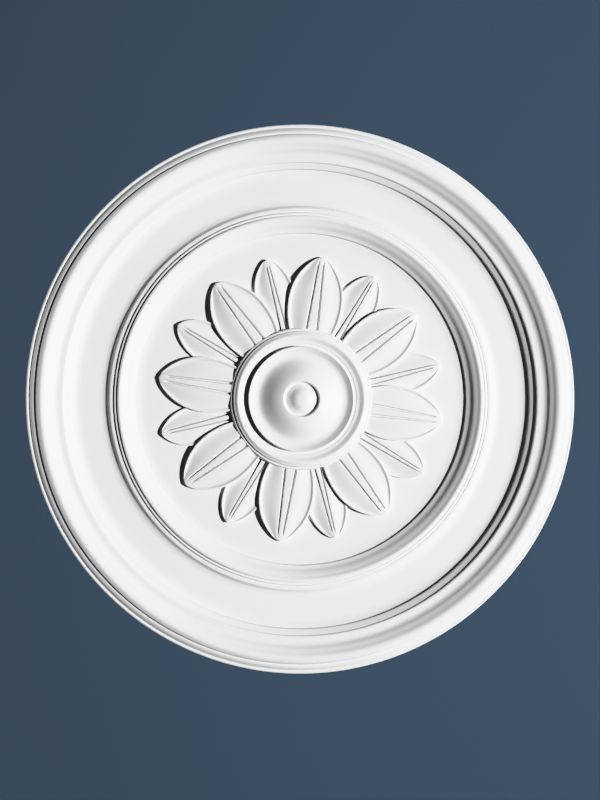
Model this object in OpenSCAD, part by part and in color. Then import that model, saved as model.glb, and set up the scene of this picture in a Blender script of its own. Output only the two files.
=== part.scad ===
// Ceiling rose: one round casting with two moulded rings, a flower of eight
// large and eight small leaves, and a dished boss in the middle.
// The flat back is the plane z = 0 and lies against the ceiling; the face
// hangs below it. One large leaf points along +X.

/* [Overall] */

// Diameter over the outer edge
rose_d = 600; // [500:10:900]
// Depth from the flat back to the top of the centre button
rose_depth = 33; // [32:1:55]
// Thickness of the flat panel that carries the flower
panel_t = 6.5; // [4:0.5:9]
// Thickness of the flat band between the two rings
band_t = 10.5; // [8:0.5:13]

/* [Outer ring] */

// Width of the outer ring with its cove
outer_ring_w = 61.5; // [50:0.5:70]
// Rise of the outer ring's crest above the band
outer_ring_rise = 20.4; // [14:0.1:28]
// Drop from the outer ring's crest to the rim round the edge
rim_drop = 7.6; // [5:0.1:10]
// Width of the rim round the edge
rim_w = 4; // [3:0.1:5]

/* [Inner ring] */

// Width of the flat band between the two rings
band_w = 14.4; // [8:0.1:22]
// Width of the inner ring over both coves
inner_ring_w = 54; // [44:1:60]
// Rise of the inner ring's crest above the panel
inner_ring_rise = 13.2; // [11:0.1:20]

/* [Boss] */

// Diameter of the boss over its collar
boss_d = 157.2; // [120:0.2:170]
// Rise of the boss ring's crest above the panel
boss_ring_rise = 13.6; // [11.5:0.1:17]
// Rise of the dish's lip above the boss ring's crest
lip_rise = 2.2; // [1:0.1:6]
// Depth of the dish's hollow below its lip
dish_dip = 3.8; // [2:0.1:6]
// Diameter of the centre button
button_d = 32.2; // [24:0.1:40]
// Drop of the button's edge below its top
button_dome = 5.3; // [2:0.1:6]
// Depth of the crease round the button
crease_dp = 3.2; // [1:0.1:4]

/* [Leaves] */

// Number of large leaves, with as many small ones between them
leaf_count = 8; // [6:1:10]
// Gap between the leaf tips and the inner ring
tip_gap = 12.6; // [6:0.1:20]
// Greatest width of a large leaf
leaf_w = 60.6; // [44:0.2:66]
// Greatest width of a small leaf
small_leaf_w = 43.8; // [30:0.2:50]
// Rise of a large leaf's rib above the panel, next to the boss
leaf_rise = 8.6; // [5:0.1:11]
// Rise of a small leaf's rib above the panel, next to the boss
small_leaf_rise = 4.8; // [3:0.1:8]
// Rise of every leaf's tip above the panel
tip_rise = 4.6; // [2:0.1:7]
// Half the width of a large leaf's rib at the boss
rib_half = 5.6; // [3:0.1:8]
// Half the width of a small leaf's rib at the boss
small_rib_half = 2.9; // [2:0.1:5]
// Depth of the grooves beside each rib
groove_dp = 2.9; // [1:0.1:3]
// Fall of a leaf's blade from its rib to the hollow by its rim
blade_fall = 2.4; // [0.5:0.1:2.5]
// Depth that a small leaf's blade is sunk next to the boss
tuck_dp = 1.2; // [0:0.1:1.5]

/* [View] */

// Part to show

/* [Hidden] */

$fa = 3;
$fs = 1;
rose_r = rose_d / 2;

// Outer ring: inner foot, crest and rim
outer_in_r = rose_r - outer_ring_w;
outer_crest = band_t + outer_ring_rise;
rim_r = rose_r - rim_w;
rim_top = outer_crest - rim_drop;

// Inner ring: both feet and crest
inner_out_r = outer_in_r - band_w;
inner_in_r = inner_out_r - inner_ring_w;
inner_crest = panel_t + inner_ring_rise;

// Boss: ring, lip, dish, button and collar
boss_r = boss_d / 2;
ring_crest = panel_t + boss_ring_rise;
lip_top = ring_crest + lip_rise;
dish_low = lip_top - dish_dip;
button_r = button_d / 2;
button_edge = rose_depth - button_dome;
shoulder = button_edge + crease_dp;
collar_top = panel_t + leaf_rise + 0.8;

// Leaves
tip_r = inner_in_r - tip_gap;
leaf_half = leaf_w / 2;
small_half = small_leaf_w / 2;
leaf_in_r = boss_r * 0.92;
tuck_reach = 30;
leaf_step = 360 / leaf_count;
leaf_rows = 11;
small_rows = 8;

// A curved member from a to b (each [radius, height]) that leaves a with
// slope sa and reaches b with slope sb, in n straight facets; a is left out.
function member(a, b, sa, sb, n) = [
    for (i = [1:n])
        let (t = i / n, w = b[0] - a[0])
        [
            a[0] + w * t,
            (2*t*t*t - 3*t*t + 1) * a[1] + (t*t*t - 2*t*t + t) * w * sa
                + (3*t*t - 2*t*t*t) * b[1] + (t*t*t - t*t) * w * sb
        ]
];

// Button: a low dome down to a crease, and the step up out of it
function button_pts() =
    let (steep = [button_r * 0.67, rose_depth - button_dome * 0.5])
    concat(
        [[0, rose_depth]],
        member([0, rose_depth], steep, 0, -0.7, 5),
        member(steep, [button_r, button_edge], -0.66, -0.42, 2),
        [
            [button_r * 1.04, button_edge - 0.7],
            [button_r * 1.12, button_edge - 0.7],
            [button_r * 1.19, shoulder - 0.5],
            [button_r * 1.25, shoulder]
        ]
    );

// Dish: falls from the shoulder into a hollow and rises to the lip
function dish_pts() =
    let (
        fall = shoulder - dish_low,
        steep = [boss_r * 0.415, shoulder - fall * 0.4],
        ease = [boss_r * 0.49, shoulder - fall * 0.71],
        low = [boss_r * 0.6, dish_low],
        rise = [boss_r * 0.67, dish_low + dish_dip * 0.33],
        lip = [boss_r * 0.708, lip_top - 0.75]
    )
    concat(
        member([button_r * 1.25, shoulder], steep, -0.15, -0.62, 5),
        member(steep, ease, -0.62, -0.62, 1),
        member(ease, low, -0.62, 0, 4),
        member(low, rise, 0, 0.6, 3),
        member(rise, lip, 0.6, 0.6, 1),
        member(lip, [boss_r * 0.735, lip_top - 0.35], 0.6, -1, 3)
    );

// Boss ring: groove under the lip, a round ring, its quirk and collar
function boss_ring_pts() =
    let (
        foot = [boss_r * 0.8, ring_crest - 2.6],
        crest = [boss_r * 0.882, ring_crest],
        fall = [boss_r * 0.92, ring_crest - 1.6]
    )
    concat(
        [
            [boss_r * 0.741, ring_crest - 4.2],
            [boss_r * 0.766, ring_crest - 4.4],
            [boss_r * 0.782, ring_crest - 2.9],
            foot
        ],
        member(foot, crest, 0.1, 0, 5),
        member(crest, fall, 0, -0.85, 3),
        [
            [boss_r * 0.93, ring_crest - 1.85],
            [boss_r * 0.942, ring_crest - 2.3],
            [boss_r * 0.949, collar_top + 0.1],
            [boss_r * 0.956, collar_top],
            [boss_r * 0.974, collar_top],
            [boss_r * 0.984, collar_top - 0.7],
            [boss_r * 0.994, collar_top - 2],
            [boss_r, panel_t]
        ]
    );

// Point of the inner ring at a share of its width: at a share of its rise
// over the panel on the inside, over the band on the outside
function inside(share, rise) =
    [inner_in_r + (inner_out_r - inner_in_r) * share,
        panel_t + (inner_crest - panel_t) * rise];
function outside(share, rise) =
    [inner_in_r + (inner_out_r - inner_in_r) * share,
        band_t + (inner_crest - band_t) * rise];

// Inner ring, outward: cove, step, facet, steep facet and crest, then two
// quirks with a bead between them, a fillet, the outer fall and its cove
function inner_ring_pts() = concat(
    [inside(0, 0)],
    member(inside(0, 0), inside(0.185, 0.07), 0, 0.24, 3),
    [inside(0.213, 0.085), inside(0.231, 0.29)],
    member(inside(0.231, 0.29), inside(0.332, 0.53), 0.42, 1.05, 3),
    member(inside(0.332, 0.53), inside(0.426, 0.8), 1.05, 0.44, 3),
    member(inside(0.426, 0.8), inside(0.472, 0.905), 0.44, 0.78, 2),
    member(inside(0.472, 0.905), inside(0.53, 1), 0.78, 0, 3),
    member(inside(0.53, 1), outside(0.569, 0.93), 0, -0.4, 2),
    [
        outside(0.577, 0.67),
        outside(0.589, 0.66),
        outside(0.6, 0.75),
        outside(0.615, 0.76),
        outside(0.632, 0.72),
        outside(0.642, 0.49),
        outside(0.654, 0.48),
        outside(0.666, 0.57),
        outside(0.718, 0.54),
        outside(0.728, 0.51)
    ],
    member(outside(0.728, 0.51), outside(0.776, 0.17), -1.6, -1.3, 2),
    member(outside(0.776, 0.17), outside(1, 0), -0.52, 0, 4)
);

// Point of the outer ring at a share of its width and of its rise
function outer(share, rise) =
    [outer_in_r + (rose_r - outer_in_r) * share,
        band_t + outer_ring_rise * rise];

// Outer ring, outward: cove, two steps with a facet between them, a flat,
// the rise to the crest and its fall, a quirk, a fillet, a groove, the rim
function outer_ring_pts() = concat(
    [outer(0, 0)],
    member(outer(0, 0), outer(0.175, 0.08), 0, 0.45, 4),
    [outer(0.205, 0.105), outer(0.22, 0.265), outer(0.232, 0.285)],
    member(outer(0.232, 0.285), outer(0.308, 0.4), 0.45, 0.52, 2),
    [
        outer(0.321, 0.415),
        outer(0.335, 0.52),
        outer(0.35, 0.543),
        outer(0.366, 0.55),
        outer(0.424, 0.553)
    ],
    member(outer(0.424, 0.553), outer(0.535, 0.69), 0.06, 1, 5),
    member(outer(0.535, 0.69), outer(0.59, 0.803), 1, 0.5, 3),
    member(outer(0.59, 0.803), outer(0.645, 0.905), 0.5, 0.78, 2),
    member(outer(0.645, 0.905), outer(0.735, 1), 0.78, 0, 4),
    member(outer(0.735, 1), outer(0.813, 0.905), 0, -0.62, 4),
    [
        outer(0.825, 0.8),
        outer(0.836, 0.787),
        outer(0.847, 0.797)
    ],
    member(outer(0.847, 0.797), outer(0.893, 0.75), -0.1, -0.55, 2),
    member(outer(0.893, 0.75), [rim_r + 0.4, rim_top - 0.3],
        -0.55, -0.95, 3),
    [
        [rim_r + 0.9, rim_top - 0.4],
        [rim_r + 1.6, rim_top - 0.1],
        [rim_r + 2.3, rim_top],
        [rose_r - 0.8, rim_top - 0.15],
        [rose_r, rim_top - 0.9],
        [rose_r, 0]
    ]
);

// Half outline of the whole body, as [radius, height over the back]
body_pts = concat(
    [[0, 0]],
    button_pts(),
    dish_pts(),
    boss_ring_pts(),
    inner_ring_pts(),
    outer_ring_pts()
);

// Half width of a leaf of greatest half width w at radius r; the leaf is
// widest at wide_r, narrows a little to the boss and comes to a tip.
function leaf_width(r, w, wide_r) =
    r < wide_r
        ? w * (1 - 0.145 * pow((wide_r - r) / (wide_r - boss_r), 2))
        : max(w * pow(max(1 - pow((r - wide_r) / (tip_r - wide_r), 2.1), 0),
            0.7), 0.9);

// Height of a leaf's rib over the panel at radius r
function rib_height(r, rise) =
    let (t = max((r - boss_r) / (tip_r - boss_r), 0))
    rise + (tip_rise - rise) * t * t * t;

// Depth that a leaf's blade is sunk at radius r, fading out from the boss
function sunk(r, tuck) =
    let (t = min(max((r - boss_r) / tuck_reach, 0), 1))
    tuck * (1 - t * t * (3 - 2 * t));

// One side of a leaf's cross section from the rib outward, as
// [distance from the rib's middle, height over the panel]
function leaf_half_section(r, w, rise, rib, tuck) =
    let (
        h = rib_height(r, rise),
        t = max((r - boss_r) / (tip_r - boss_r), 0),
        g = min(rib * (1 - 0.6 * t), w * 0.42),
        b = g + min(rib * 0.3 + 0.4, w * 0.14) * (1 - 0.35 * t),
        d = min(groove_dp, w * 0.22),
        m = min(4.2, (w - b) * 0.3),
        k = w - m - b,
        s = min((w - b) * 0.13, blade_fall),
        e = h - 0.25 - sunk(r, tuck)
    )
    [
        [0, h],
        [g * 0.72, h - 0.15],
        [g, e - d],
        [b, e],
        [b + k * 0.33, e - s * 0.25],
        [b + k * 0.67, e - s * 0.75],
        [b + k, e - s],
        [w - m * 0.4, e - s * 0.5],
        [w, e - s * 0.5 - min(0.7, w * 0.2)]
    ];

// Full cross section, from one edge over the rib to the other
function leaf_section(r, w, rise, rib, tuck) =
    let (p = leaf_half_section(r, w, rise, rib, tuck), n = len(p))
    concat(
        [for (i = [n - 1:-1:1]) [r, -p[i][0], -(panel_t + p[i][1])]],
        [for (i = [0:n - 1]) [r, p[i][0], -(panel_t + p[i][1])]]
    );

// Radius of row i of n: close together towards the tip
function row_r(i, n) =
    leaf_in_r + (tip_r - leaf_in_r) * (1 - pow(1 - i / n, 1.7));

// A leaf pointing along +X with its flat root sunk into the panel
module leaf(half_w, wide_r, rise, rib, n, sink, tuck) {
    rows = [
        for (i = [0:n])
            let (r = row_r(i, n))
            leaf_section(r, leaf_width(r, half_w, wide_r), rise, rib,
                tuck)
    ];
    m = len(rows[0]);
    top = [for (row = rows) for (p = row) p];
    root = [
        for (row = rows)
            for (p = [row[0], row[m - 1]])
                [p[0], p[1], -(panel_t - sink)]
    ];
    q = m * (n + 1);
    faces = concat(
        [
            for (i = [0:n - 1])
                for (j = [0:m - 2])
                    let (a = i * m + j, b = a + 1, c = a + m, d = c + 1)
                    each (j < (m - 1) / 2
                        ? [[a, c, b], [b, c, d]]
                        : [[a, d, b], [a, c, d]])
        ],
        [
            for (i = [0:n - 1])
                let (a = q + 2 * i)
                each [
                    [a, a + 1, a + 3, a + 2],
                    [i * m, a, a + 2, (i + 1) * m],
                    [(i + 1) * m + m - 1, a + 3, a + 1, i * m + m - 1]
                ]
        ],
        [
            concat([q + 1, q], [for (j = [0:m - 1]) j]),
            concat([q + 2 * n, q + 2 * n + 1],
                [for (j = [m - 1:-1:0]) n * m + j])
        ]
    );
    polyhedron(points = concat(top, root), faces = faces);
}

module large_leaf() {
    leaf(leaf_half, boss_r + (tip_r - boss_r) * 0.34, leaf_rise,
        rib_half, leaf_rows, 2, 0);
}

module small_leaf() {
    leaf(small_half, boss_r + (tip_r - boss_r) * 0.5, small_leaf_rise,
        small_rib_half, small_rows, 3, tuck_dp);
}

module body() {
    mirror([0, 0, 1])
        rotate_extrude()
            polygon(body_pts);
}

// The flower: every leaf laid over the ones beside it
module flower() {
    union() {
        for (i = [0:leaf_count - 1]) {
            rotate([0, 0, i * leaf_step])
                large_leaf();
            rotate([0, 0, (i + 0.5) * leaf_step])
                small_leaf();
        }
    }
}

module ceiling_rose() {
    color([0.95, 0.95, 0.94])
        union() {
            body();
            flower();
        }
}

ceiling_rose();
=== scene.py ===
"""A white cast ceiling rose: two moulded rings, a flower of eight large and
eight small leaves, and a dished boss. The scene is in metres, in the part's
own frame: the flat back is z = 0 and the face hangs below it. The casting's
sizes are in millimetres, and its heights are measured down from the back."""
import math

import bmesh
import bpy
from mathutils import Matrix, Vector


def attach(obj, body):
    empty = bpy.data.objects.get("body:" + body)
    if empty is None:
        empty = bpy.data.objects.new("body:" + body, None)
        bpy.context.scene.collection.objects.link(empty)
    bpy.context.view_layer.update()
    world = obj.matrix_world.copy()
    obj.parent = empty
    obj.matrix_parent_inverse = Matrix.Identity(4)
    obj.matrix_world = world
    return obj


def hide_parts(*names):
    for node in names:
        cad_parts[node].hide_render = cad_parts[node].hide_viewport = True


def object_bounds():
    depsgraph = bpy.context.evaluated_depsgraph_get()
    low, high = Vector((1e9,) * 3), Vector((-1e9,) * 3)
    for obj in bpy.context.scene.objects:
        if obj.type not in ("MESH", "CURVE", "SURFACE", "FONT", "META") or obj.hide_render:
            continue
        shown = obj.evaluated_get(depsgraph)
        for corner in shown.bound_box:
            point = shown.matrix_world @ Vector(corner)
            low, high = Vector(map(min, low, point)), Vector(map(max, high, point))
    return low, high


MM = 0.001

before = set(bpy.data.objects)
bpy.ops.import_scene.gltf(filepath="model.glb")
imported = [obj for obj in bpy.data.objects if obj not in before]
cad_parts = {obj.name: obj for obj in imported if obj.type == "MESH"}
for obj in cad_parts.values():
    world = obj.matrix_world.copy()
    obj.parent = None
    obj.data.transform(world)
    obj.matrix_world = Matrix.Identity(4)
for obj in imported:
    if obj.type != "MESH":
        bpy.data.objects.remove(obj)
cad_box = [list(corner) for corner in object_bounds()]

# Overall sizes; the radius and the depth are the CAD model's own
ROSE_R = float(round(cad_box[1][0] / MM))
DEPTH = float(round(-cad_box[0][2] / MM))
PANEL = 6.5
BAND = 10.5

# Outer ring, and the rim round its edge
OUTER_RING_W = 61.5
OUTER_IN_R = ROSE_R - OUTER_RING_W
OUTER_CREST = BAND + 20.4
RIM_TOP = OUTER_CREST - 7.6
RIM_W = 4.0

# Inner ring
BAND_W = 14.4
INNER_RING_W = 54.0
INNER_OUT_R = OUTER_IN_R - BAND_W
INNER_IN_R = INNER_OUT_R - INNER_RING_W
INNER_CREST = PANEL + 13.2

# Boss, with its ring, dish and button
BOSS_R = 78.6
RING_CREST = PANEL + 13.6
LIP_TOP = RING_CREST + 2.2
DISH_LOW = LIP_TOP - 3.8
BUTTON_R = 16.113
BUTTON_DOME = 5.3
CREASE_DP = 3.2
SHOULDER_R = BUTTON_R * 1.25
SHOULDER = DEPTH - BUTTON_DOME + CREASE_DP

# Leaves: where they start and end, half widths, and rises over the panel
LEAF_COUNT = 8
TIP_GAP = 12.6
TIP_R = INNER_IN_R - TIP_GAP
ROOT_R = BOSS_R * 0.92
LEAF_HALF = 30.3
SMALL_HALF = 21.9
TIP_HALF = 0.25
LEAF_RISE = 8.6
SMALL_RISE = 4.8
TIP_RISE = 4.6
LEAF_EDGE_R = 1.1

# A leaf's rib, the groove on either side of it, and its hollowed blade
RIB_HALF = 5.6
SMALL_RIB_HALF = 2.9
RIB_CAMBER = 0.25
GROOVE_START = 0.72
GROOVE_DP = 2.9
GROOVE_TIP_GAP = 5.0
GROOVE_RUN_OUT = 6.0
BLADE_FALL = 2.4
RAISED_RIM_W = 4.2
TUCK = 1.2
TUCK_REACH = 30.0

# How fine the surface is: at 218 steps a turn the casting comes out closed
# once the leaves are joined to it, and stays under 200,000 triangles
TURN_STEPS = 218
LEAF_ROWS = 33
SMALL_ROWS = 25
FILLET = 0.45
SHARP_ANGLE = math.radians(40)


def hermite(a, b, sa, sb, n):
    """Curved member from a to b, leaving a at slope sa and reaching b at
    slope sb; a is left out."""
    out = []
    w = b[0] - a[0]
    for i in range(1, n + 1):
        t = i / n
        h = ((2 * t**3 - 3 * t**2 + 1) * a[1] + (t**3 - 2 * t**2 + t) * w * sa
             + (3 * t**2 - 2 * t**3) * b[1] + (t**3 - t**2) * w * sb)
        out.append((a[0] + w * t, h))
    return out


def button_members():
    """Domed button and the crease round it."""
    edge = DEPTH - BUTTON_DOME
    bed = edge - 0.7
    steep = (BUTTON_R * 0.67, DEPTH - BUTTON_DOME * 0.5)
    return (
        [(0.0, DEPTH)]
        + hermite((0, DEPTH), steep, 0, -0.7, 8)
        + hermite(steep, (BUTTON_R, edge), -0.66, -0.42, 4)
        + [(BUTTON_R * 1.04, bed), (BUTTON_R * 1.12, bed),
           (BUTTON_R * 1.19, SHOULDER - 0.5), (SHOULDER_R, SHOULDER)]
    )


def dish_members():
    """Long fall from the button's shoulder, the dish's hollow and its lip."""
    fall = SHOULDER - DISH_LOW
    steep = (BOSS_R * 0.415, SHOULDER - fall * 0.4)
    ease = (BOSS_R * 0.49, SHOULDER - fall * 0.71)
    low = (BOSS_R * 0.6, DISH_LOW)
    rise = (BOSS_R * 0.67, DISH_LOW + (LIP_TOP - DISH_LOW) * 0.33)
    lip = (BOSS_R * 0.708, LIP_TOP - 0.75)
    return (
        hermite((SHOULDER_R, SHOULDER), steep, -0.15, -0.62, 10)
        + hermite(steep, ease, -0.62, -0.62, 3)
        + hermite(ease, low, -0.62, 0, 7)
        + hermite(low, rise, 0, 0.6, 6)
        + hermite(rise, lip, 0.6, 0.6, 3)
        + hermite(lip, (BOSS_R * 0.735, LIP_TOP - 0.35), 0.6, -1.0, 5)
    )


def boss_ring_members():
    """Groove, round ring, and the collar that stands on the panel."""
    foot = (BOSS_R * 0.8, RING_CREST - 2.6)
    crest = (BOSS_R * 0.882, RING_CREST)
    fall = (BOSS_R * 0.92, RING_CREST - 1.6)
    collar = PANEL + LEAF_RISE + 0.8
    return (
        [(BOSS_R * 0.741, RING_CREST - 4.2),
         (BOSS_R * 0.766, RING_CREST - 4.4),
         (BOSS_R * 0.782, RING_CREST - 2.9), foot]
        + hermite(foot, crest, 0.1, 0, 9)
        + hermite(crest, fall, 0, -0.85, 6)
        + [(BOSS_R * 0.93, RING_CREST - 1.85),
           (BOSS_R * 0.942, RING_CREST - 2.3),
           (BOSS_R * 0.949, collar + 0.1), (BOSS_R * 0.956, collar),
           (BOSS_R * 0.974, collar),
           (BOSS_R * 0.984, collar - 0.7), (BOSS_R * 0.994, collar - 2),
           (BOSS_R, PANEL)]
    )


def inner_ring_members():
    """Cove, step, S-shaped side, crest, two fine beads, step and foot."""

    def inside(share, rise):
        return (INNER_IN_R + INNER_RING_W * share,
                PANEL + (INNER_CREST - PANEL) * rise)

    def outside(share, rise):
        return (INNER_IN_R + INNER_RING_W * share,
                BAND + (INNER_CREST - BAND) * rise)

    return (
        [inside(0, 0)]
        + hermite(inside(0, 0), inside(0.185, 0.07), 0, 0.24, 5)
        + [inside(0.213, 0.085), inside(0.231, 0.29)]
        + hermite(inside(0.231, 0.29), inside(0.332, 0.53), 0.42, 1.05, 5)
        + hermite(inside(0.332, 0.53), inside(0.426, 0.8), 1.05, 0.44, 5)
        + hermite(inside(0.426, 0.8), inside(0.472, 0.905), 0.44, 0.78, 3)
        + hermite(inside(0.472, 0.905), inside(0.53, 1), 0.78, 0, 5)
        + hermite(inside(0.53, 1), outside(0.569, 0.93), 0, -0.4, 4)
        + [outside(0.577, 0.67), outside(0.589, 0.66),
           outside(0.6, 0.75), outside(0.615, 0.76),
           outside(0.632, 0.72), outside(0.642, 0.49),
           outside(0.654, 0.48), outside(0.666, 0.57),
           outside(0.718, 0.54), outside(0.728, 0.51)]
        + hermite(outside(0.728, 0.51), outside(0.776, 0.17), -1.6, -1.3, 3)
        + hermite(outside(0.776, 0.17), outside(1, 0), -0.52, 0, 7)
    )


def outer_ring_members():
    """Cove, two steps, S-shaped side, crest, quirk, the rim round the edge
    and the upright wall."""
    rim = ROSE_R - RIM_W

    def at(share, rise):
        return (OUTER_IN_R + OUTER_RING_W * share,
                BAND + (OUTER_CREST - BAND) * rise)

    return (
        [at(0, 0)]
        + hermite(at(0, 0), at(0.175, 0.08), 0, 0.45, 6)
        + [at(0.205, 0.105), at(0.22, 0.265), at(0.232, 0.285)]
        + hermite(at(0.232, 0.285), at(0.308, 0.4), 0.45, 0.52, 4)
        + [at(0.321, 0.415), at(0.335, 0.52), at(0.35, 0.543),
           at(0.366, 0.55)]
        + hermite(at(0.366, 0.55), at(0.424, 0.553), 0.03, 0.06, 2)
        + hermite(at(0.424, 0.553), at(0.535, 0.69), 0.06, 1.0, 8)
        + hermite(at(0.535, 0.69), at(0.59, 0.803), 1.0, 0.5, 5)
        + hermite(at(0.59, 0.803), at(0.645, 0.905), 0.5, 0.78, 4)
        + hermite(at(0.645, 0.905), at(0.735, 1), 0.78, 0, 8)
        + hermite(at(0.735, 1), at(0.813, 0.905), 0, -0.62, 8)
        + [at(0.825, 0.8), at(0.836, 0.787), at(0.847, 0.797)]
        + hermite(at(0.847, 0.797), at(0.893, 0.75), -0.1, -0.55, 4)
        + hermite(at(0.893, 0.75), (rim + 0.4, RIM_TOP - 0.3),
                  -0.55, -0.95, 5)
        + [(rim + 0.9, RIM_TOP - 0.4), (rim + 1.6, RIM_TOP - 0.1),
           (rim + 2.3, RIM_TOP), (ROSE_R - 0.8, RIM_TOP - 0.15),
           (ROSE_R, RIM_TOP - 0.9), (ROSE_R, 0.0)]
    )


def back_members():
    """Flat back from the edge to the axis, in bands of fair width."""
    return [(ROSE_R - 12, 0.0), (ROSE_R * 0.6, 0.0), (ROSE_R * 0.25, 0.0),
            (0.0, 0.0)]


def soften(points, radius):
    """Rounds each sharp corner of a half outline with a small arc, and sets
    a holding point either side of it on a long straight."""
    sharp, very_sharp = math.radians(13), math.radians(35)
    long_straight, hold = 6.0, 1.0
    out = [points[0]]
    for i in range(1, len(points) - 1):
        a, p, b = (Vector(points[i + k]) for k in (-1, 0, 1))
        u, v = a - p, b - p
        turn = math.pi - u.angle(v)
        if turn < sharp:
            out.append(tuple(p))
            continue
        cut = min(radius * math.tan(turn / 2), u.length * 0.4,
                  v.length * 0.4)
        s, e = p + u.normalized() * cut, p + v.normalized() * cut
        if u.length > long_straight:
            out.append(tuple(s + u.normalized() * hold))
        steps = 2 if turn < very_sharp else 3
        for k in range(steps + 1):
            t = k / steps
            out.append(tuple((1 - t) ** 2 * s + 2 * t * (1 - t) * p
                             + t * t * e))
        if v.length > long_straight:
            out.append(tuple(e + v.normalized() * hold))
    out.append(points[-1])
    return out


def solid(name, verts, faces):
    """New object with a closed mesh, its faces turned outwards."""
    mesh = bpy.data.meshes.new(name)
    mesh.from_pydata(verts, [], faces)
    mesh.validate()
    obj = bpy.data.objects.new(name, mesh)
    bpy.context.scene.collection.objects.link(obj)
    bm = bmesh.new()
    bm.from_mesh(mesh)
    bmesh.ops.recalc_face_normals(bm, faces=bm.faces)
    bm.to_mesh(mesh)
    bm.free()
    return obj


def revolve(name, outline, steps):
    """Closed solid of revolution about Z from a half outline that starts
    and ends on the axis; heights hang below z = 0."""
    verts, faces = [], []
    rings = []
    for r, h in outline:
        if r == 0:
            verts.append((0.0, 0.0, -h * MM))
            rings.append([len(verts) - 1])
            continue
        first = len(verts)
        for k in range(steps):
            t = 2 * math.pi * k / steps
            verts.append((r * math.cos(t) * MM, r * math.sin(t) * MM,
                          -h * MM))
        rings.append(list(range(first, first + steps)))
    for a, b in zip(rings, rings[1:]):
        for k in range(steps):
            n = (k + 1) % steps
            if len(a) == 1:
                faces.append((a[0], b[k], b[n]))
            elif len(b) == 1:
                faces.append((a[k], b[0], a[n]))
            else:
                faces.append((a[k], b[k], b[n], a[n]))
    return solid(name, verts, faces)


def smooth(t):
    """Eases from 0 to 1 as t goes from 0 to 1."""
    t = min(max(t, 0.0), 1.0)
    return t * t * (3 - 2 * t)


def along(r):
    """Share of a leaf's length at radius r: 0 at the boss, 1 at the tip."""
    return max((r - BOSS_R) / (TIP_R - BOSS_R), 0)


def leaf_width(r, half, wide_r):
    """Half width at radius r of a leaf whose half width is half at wide_r,
    its widest place."""
    if r < wide_r:
        return half * (1 - 0.145 * ((wide_r - r) / (wide_r - BOSS_R)) ** 2)
    t = (r - wide_r) / (TIP_R - wide_r)
    return max(half * max(1 - t ** 2.1, 0.0) ** 0.7, TIP_HALF)


def leaf_lines(r, w, rib):
    """Distances from the rib's middle to the bottom of its groove and to
    the near edge of the blade, and the width of the raised rim."""
    t = along(r)
    groove = min(rib * (1 - 0.6 * t), w * 0.42)
    blade = groove + min(rib * 0.3 + 0.4, w * 0.14) * (1 - 0.35 * t)
    return groove, blade, min(RAISED_RIM_W, (w - blade) * 0.3)


def leaf_height(r, v, w, rise, rib, tuck):
    """Height of a leaf's surface over the panel at radius r, v from the
    middle of its rib. Tuck is how far the blade is sunk at the boss."""
    crown = rise + (TIP_RISE - rise) * along(r) ** 3
    groove, blade, rim = leaf_lines(r, w, rib)
    deep = min(GROOVE_DP, w * 0.22) * smooth(
        (TIP_R - GROOVE_TIP_GAP - r) / GROOVE_RUN_OUT)
    sunk = tuck * (1 - smooth((r - BOSS_R) / TUCK_REACH))
    fall = min((w - blade) * 0.13, BLADE_FALL)
    if v < groove:
        into = max(v / groove - GROOVE_START, 0) / (1 - GROOVE_START)
        h = crown - RIB_CAMBER * (v / groove) ** 2 - (deep + sunk) * into
    elif v < blade:
        out_of = (v - groove) / (blade - groove)
        h = crown - RIB_CAMBER - sunk - deep * (1 - out_of)
    else:
        h = crown - RIB_CAMBER - sunk
        h -= fall * smooth((v - blade) / (w - rim - blade))
        h += fall * 0.5 * smooth((v - w + rim) / (rim * 0.6))
    near = min(w - v, (TIP_R - r) * 1.1)
    if near < LEAF_EDGE_R:
        near = max(near, 0.0)
        h -= LEAF_EDGE_R - math.sqrt(
            LEAF_EDGE_R ** 2 - (LEAF_EDGE_R - near) ** 2)
    return h


def across(r, w, rib):
    """Distances from the rib's middle at which a leaf's section is set out:
    close together at the groove and at the edge."""
    groove, blade, rim = leaf_lines(r, w, rib)
    span = w - rim - blade
    edge = min(LEAF_EDGE_R, rim * 0.4)
    out = [groove * s for s in
           (0.3, 0.55, 0.68, GROOVE_START, 0.8, 0.9, 1.0)]
    out += [groove + (blade - groove) * s for s in (0.33, 0.67, 1.0)]
    out += [blade + span * s for s in
            (0.08, 0.2, 0.32, 0.44, 0.56, 0.68, 0.8, 0.91, 1.0)]
    out += [w - rim + rim * s for s in (0.15, 0.3, 0.45, 0.6)]
    out += [w - edge * s for s in (1.0, 0.6, 0.3, 0.1, 0.0)]
    return out


def leaf(name, half, widest, rise, rib, rows, sink, tuck=0.0):
    """Closed solid leaf pointing along +X, its underside sunk into the
    panel. Widest is the share of its length at which it is widest."""
    wide_r = BOSS_R + (TIP_R - BOSS_R) * widest
    underside = -(PANEL - sink) * MM
    verts, faces = [], []
    for i in range(rows + 1):
        r = ROOT_R + (TIP_R - ROOT_R) * (1 - (1 - i / rows) ** 1.8)
        w = leaf_width(r, half, wide_r)
        side = across(r, w, rib)
        verts.append((r * MM, -w * MM, underside))
        for v in [-d for d in reversed(side)] + [0.0] + side:
            h = leaf_height(r, abs(v), w, rise, rib, tuck)
            verts.append((r * MM, v * MM, -(PANEL + h) * MM))
        verts.append((r * MM, w * MM, underside))
    m = len(verts) // (rows + 1)
    for i in range(rows):
        for j in range(m):
            n = (j + 1) % m
            faces.append((i * m + j, (i + 1) * m + j,
                          (i + 1) * m + n, i * m + n))
    faces.append(tuple(range(m)))
    faces.append(tuple(rows * m + j for j in reversed(range(m))))
    return solid(name, verts, faces)


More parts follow.
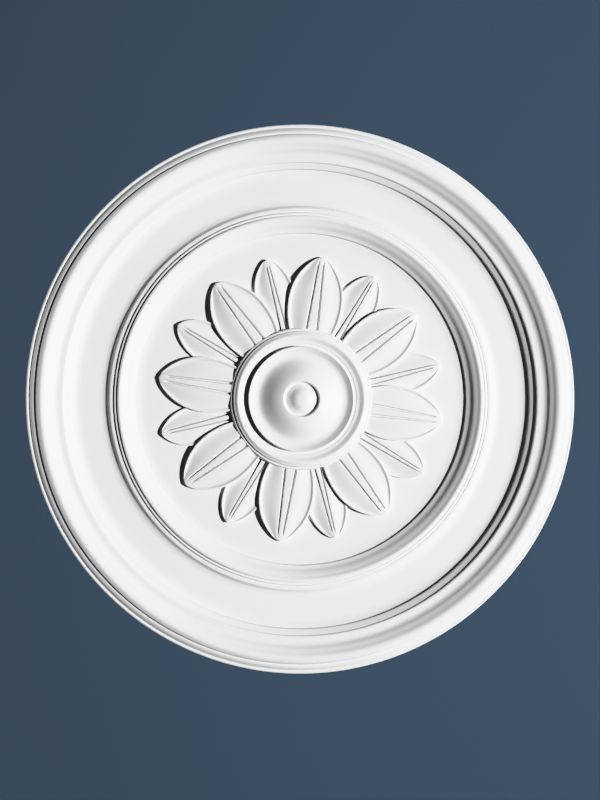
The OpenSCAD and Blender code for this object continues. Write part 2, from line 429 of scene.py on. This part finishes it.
def ring_of_leaves_tree():
    """Geometry Nodes: copies its input round Z and makes it one mesh."""
    tree = bpy.data.node_groups.new("ring_of_leaves", "GeometryNodeTree")
    for name, way, kind in (("Geometry", "INPUT", "Geometry"),
                            ("Count", "INPUT", "Int"),
                            ("First angle", "INPUT", "Float"),
                            ("Material", "INPUT", "Material"),
                            ("Geometry", "OUTPUT", "Geometry")):
        tree.interface.new_socket(name, in_out=way,
                                  socket_type="NodeSocket" + kind)
    add, link = tree.nodes.new, tree.links.new
    inp, out = add("NodeGroupInput"), add("NodeGroupOutput")
    points = add("GeometryNodePoints")
    index = add("GeometryNodeInputIndex")
    step = add("ShaderNodeMath")
    step.operation = "DIVIDE"
    step.inputs[0].default_value = 2 * math.pi
    turn = add("ShaderNodeMath")
    turn.operation = "MULTIPLY_ADD"
    euler = add("ShaderNodeCombineXYZ")
    rotate = add("FunctionNodeEulerToRotation")
    place = add("GeometryNodeInstanceOnPoints")
    real = add("GeometryNodeRealizeInstances")
    paint = add("GeometryNodeSetMaterial")
    link(inp.outputs["Count"], points.inputs["Count"])
    link(inp.outputs["Count"], step.inputs[1])
    link(index.outputs[0], turn.inputs[0])
    link(step.outputs[0], turn.inputs[1])
    link(inp.outputs["First angle"], turn.inputs[2])
    link(turn.outputs[0], euler.inputs["Z"])
    link(euler.outputs[0], rotate.inputs[0])
    link(points.outputs[0], place.inputs["Points"])
    link(inp.outputs["Geometry"], place.inputs["Instance"])
    link(rotate.outputs[0], place.inputs["Rotation"])
    link(place.outputs[0], real.inputs[0])
    link(real.outputs[0], paint.inputs["Geometry"])
    link(inp.outputs["Material"], paint.inputs["Material"])
    link(paint.outputs[0], out.inputs[0])
    return tree


def settle(obj):
    """Makes what obj's modifiers give its own mesh and drops them."""
    deps = bpy.context.evaluated_depsgraph_get()
    mesh = bpy.data.meshes.new_from_object(obj.evaluated_get(deps))
    obj.modifiers.clear()
    old = obj.data
    obj.data = mesh
    bpy.data.meshes.remove(old)


def ring_of(obj, tree, count, first, material):
    """Sets obj round Z count times, the first one at the angle first."""
    mod = obj.modifiers.new("ring", "NODES")
    mod.node_group = tree
    values = {"Count": count, "First angle": first, "Material": material}
    for item in tree.interface.items_tree:
        if item.in_out == "INPUT" and item.name in values:
            mod[item.identifier] = values[item.name]
    settle(obj)


def join_solid(obj, other):
    """Unites other into obj, so that no surface is left inside."""
    mod = obj.modifiers.new("join", "BOOLEAN")
    mod.operation = "UNION"
    mod.solver = "MANIFOLD"
    mod.object = other
    bpy.context.view_layer.update()
    settle(obj)
    bpy.data.objects.remove(other)


def set_inputs(node, values):
    """Sets a node's own sockets, by name."""
    for name, value in values.items():
        node.inputs[name].default_value = value


def white_primer():
    """Primed white casting: a satin skin with faint mottling and a fine
    grain."""
    mat = bpy.data.materials.new("white_primer")
    mat.use_nodes = True
    nodes, link = mat.node_tree.nodes, mat.node_tree.links.new
    shader = nodes["Principled BSDF"]
    place = nodes.new("ShaderNodeTexCoord")
    cloud = nodes.new("ShaderNodeTexNoise")
    set_inputs(cloud, {"Scale": 9.0, "Detail": 5.0, "Roughness": 0.55})
    tint = nodes.new("ShaderNodeValToRGB")
    cooler, warmer = tint.color_ramp.elements
    cooler.position, cooler.color = 0.3, (0.77, 0.775, 0.775, 1)
    warmer.position, warmer.color = 0.7, (0.8, 0.8, 0.795, 1)
    sheen = nodes.new("ShaderNodeMapRange")
    set_inputs(sheen, {"To Min": 0.42, "To Max": 0.6})
    grain = nodes.new("ShaderNodeTexNoise")
    set_inputs(grain, {"Scale": 900.0, "Detail": 3.0})
    bump = nodes.new("ShaderNodeBump")
    set_inputs(bump, {"Strength": 0.12, "Distance": 0.0003})
    link(place.outputs["Object"], cloud.inputs["Vector"])
    link(place.outputs["Object"], grain.inputs["Vector"])
    link(cloud.outputs[0], tint.inputs["Fac"])
    link(cloud.outputs[0], sheen.inputs["Value"])
    link(grain.outputs[0], bump.inputs["Height"])
    link(tint.outputs[0], shader.inputs["Base Color"])
    link(sheen.outputs[0], shader.inputs["Roughness"])
    link(bump.outputs[0], shader.inputs["Normal"])
    return mat


# The casting
white = white_primer()
outline = soften(
    button_members() + dish_members() + boss_ring_members()
    + inner_ring_members() + outer_ring_members(), FILLET) + back_members()
rose = revolve("ceiling_rose_casting", outline, TURN_STEPS)

tree = ring_of_leaves_tree()
large = leaf("large_leaf", LEAF_HALF, widest=0.34, rise=LEAF_RISE,
             rib=RIB_HALF, rows=LEAF_ROWS, sink=2.0)
small = leaf("small_leaf", SMALL_HALF, widest=0.5, rise=SMALL_RISE,
             rib=SMALL_RIB_HALF, rows=SMALL_ROWS, sink=3.0, tuck=TUCK)
ring_of(large, tree, LEAF_COUNT, 0.0, white)
ring_of(small, tree, LEAF_COUNT, math.pi / LEAF_COUNT, white)
join_solid(large, small)
join_solid(rose, large)

rose.data.materials.clear()
rose.data.materials.append(white)
rose.data.shade_smooth()
rose.data.set_sharp_from_angle(angle=SHARP_ANGLE)
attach(rose, "root")
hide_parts("ceiling_rose")

# Camera: nearly square on from below, a large leaf a little below level
ROLL = math.radians(8.6)
LEAN = math.radians(3.0)
DISTANCE = 3.0
LENS = 123.15
SENSOR_W = 36.0
AIM = Vector((-0.00078, 0.001106, -0.012))
right = Vector((math.cos(ROLL), -math.sin(ROLL), 0))
up = Vector((-math.sin(ROLL), -math.cos(ROLL), 0))
out_of_face = Vector((0, 0, -1))
eye = AIM + DISTANCE * (math.cos(LEAN) * out_of_face
                        - math.sin(LEAN) * right)
look = (AIM - eye).normalized()
cam_right = look.cross(up).normalized()
cam_up = cam_right.cross(look).normalized()
camera = bpy.data.objects.new("camera", bpy.data.cameras.new("camera"))
camera.data.lens = LENS
camera.data.sensor_width = SENSOR_W
camera.matrix_world = Matrix((
    (cam_right.x, cam_up.x, -look.x, eye.x),
    (cam_right.y, cam_up.y, -look.y, eye.y),
    (cam_right.z, cam_up.z, -look.z, eye.z),
    (0, 0, 0, 1)))
bpy.context.scene.collection.objects.link(camera)
bpy.context.scene.camera = camera

# Stage: floor, backdrop and walls, none of it part of the object
PALE = (0.25, 0.25, 0.25)
SLATE = (0.265, 0.33, 0.39)
DAYLIGHT = (0.97, 0.985, 1, 1)
FLOOR_Z = -6.5
BACKDROP_Z = 6.5
WALLS_R = 15


def stage_piece(name, mesh, colour):
    """Stage object with a matt material of one colour."""
    mat = bpy.data.materials.new(name)
    mat.use_nodes = True
    set_inputs(mat.node_tree.nodes["Principled BSDF"],
               {"Base Color": (*colour, 1), "Roughness": 0.9})
    mesh.materials.append(mat)
    obj = bpy.data.objects.new(name, mesh)
    bpy.context.scene.collection.objects.link(obj)
    return obj


def level_sheet(name, size, z, colour):
    """Square level sheet at the height z."""
    s = size / 2
    mesh = bpy.data.meshes.new(name)
    mesh.from_pydata([(-s, -s, z), (s, -s, z), (s, s, z), (-s, s, z)], [],
                     [(0, 1, 2, 3)])
    return stage_piece(name, mesh, colour)


def walls(name, radius, colour):
    """Ball seen from inside: plain walls far off all round."""
    ball = bmesh.new()
    bmesh.ops.create_uvsphere(ball, u_segments=48, v_segments=24,
                              radius=radius)
    bmesh.ops.reverse_faces(ball, faces=ball.faces)
    mesh = bpy.data.meshes.new(name)
    ball.to_mesh(mesh)
    ball.free()
    return stage_piece(name, mesh, colour)


def light_evenly(obj, strength):
    """Makes a stage piece look evenly lit without it lighting the casting."""
    set_inputs(obj.data.materials[0].node_tree.nodes["Principled BSDF"],
               {"Emission Color": DAYLIGHT, "Emission Strength": strength})
    obj.visible_diffuse = False
    obj.visible_glossy = False
    obj.visible_shadow = False


light_evenly(level_sheet("floor", 60, FLOOR_Z, PALE), strength=0.31)
level_sheet("backdrop", 7, BACKDROP_Z, SLATE)
light_evenly(walls("room", WALLS_R, PALE), strength=0.33)


def soft_light(name, direction, distance, size, power):
    """Square light that shines from the given direction at the origin."""
    light = bpy.data.lights.new(name, "AREA")
    light.size = size
    light.energy = power
    obj = bpy.data.objects.new(name, light)
    obj.location = direction.normalized() * distance
    obj.rotation_euler = (-direction).to_track_quat("-Z", "Y").to_euler()
    bpy.context.scene.collection.objects.link(obj)


# Light from the right of the face, a softer one over the back and a weak
# one from the left
KEY_HEIGHT = math.radians(42)
side = Matrix.Rotation(math.radians(5), 3, "Z") @ right
soft_light("key", math.cos(KEY_HEIGHT) * side
           + math.sin(KEY_HEIGHT) * out_of_face,
           distance=8.0, size=0.5, power=618)
soft_light("over_back", Vector((1.2, -1.6, 2.2)),
           distance=4.0, size=2.5, power=150)
soft_light("far_side", -side - 0.14 * out_of_face,
           distance=4.0, size=0.6, power=40)
world = bpy.data.worlds.new("room")
world.use_nodes = True
set_inputs(world.node_tree.nodes["Background"],
           {"Color": (0.93, 0.96, 1.0, 1), "Strength": 0.052})
bpy.context.scene.world = world

# A film-like response: deep shadows, highlights rolled off gently
TONE_ENDS = ((0.0, 0.0), (1.0, 0.67))
TONE_BETWEEN = ((0.1, 0.06), (0.22, 0.25), (0.4, 0.435), (0.55, 0.582),
                (0.75, 0.647))
view = bpy.context.scene.view_settings
view.view_transform = "Standard"
view.look = "High Contrast"
view.use_curve_mapping = True
tone = view.curve_mapping.curves[3]
tone.points[0].location, tone.points[-1].location = TONE_ENDS
for light_in, light_out in TONE_BETWEEN:
    tone.points.new(light_in, light_out)
view.curve_mapping.update()
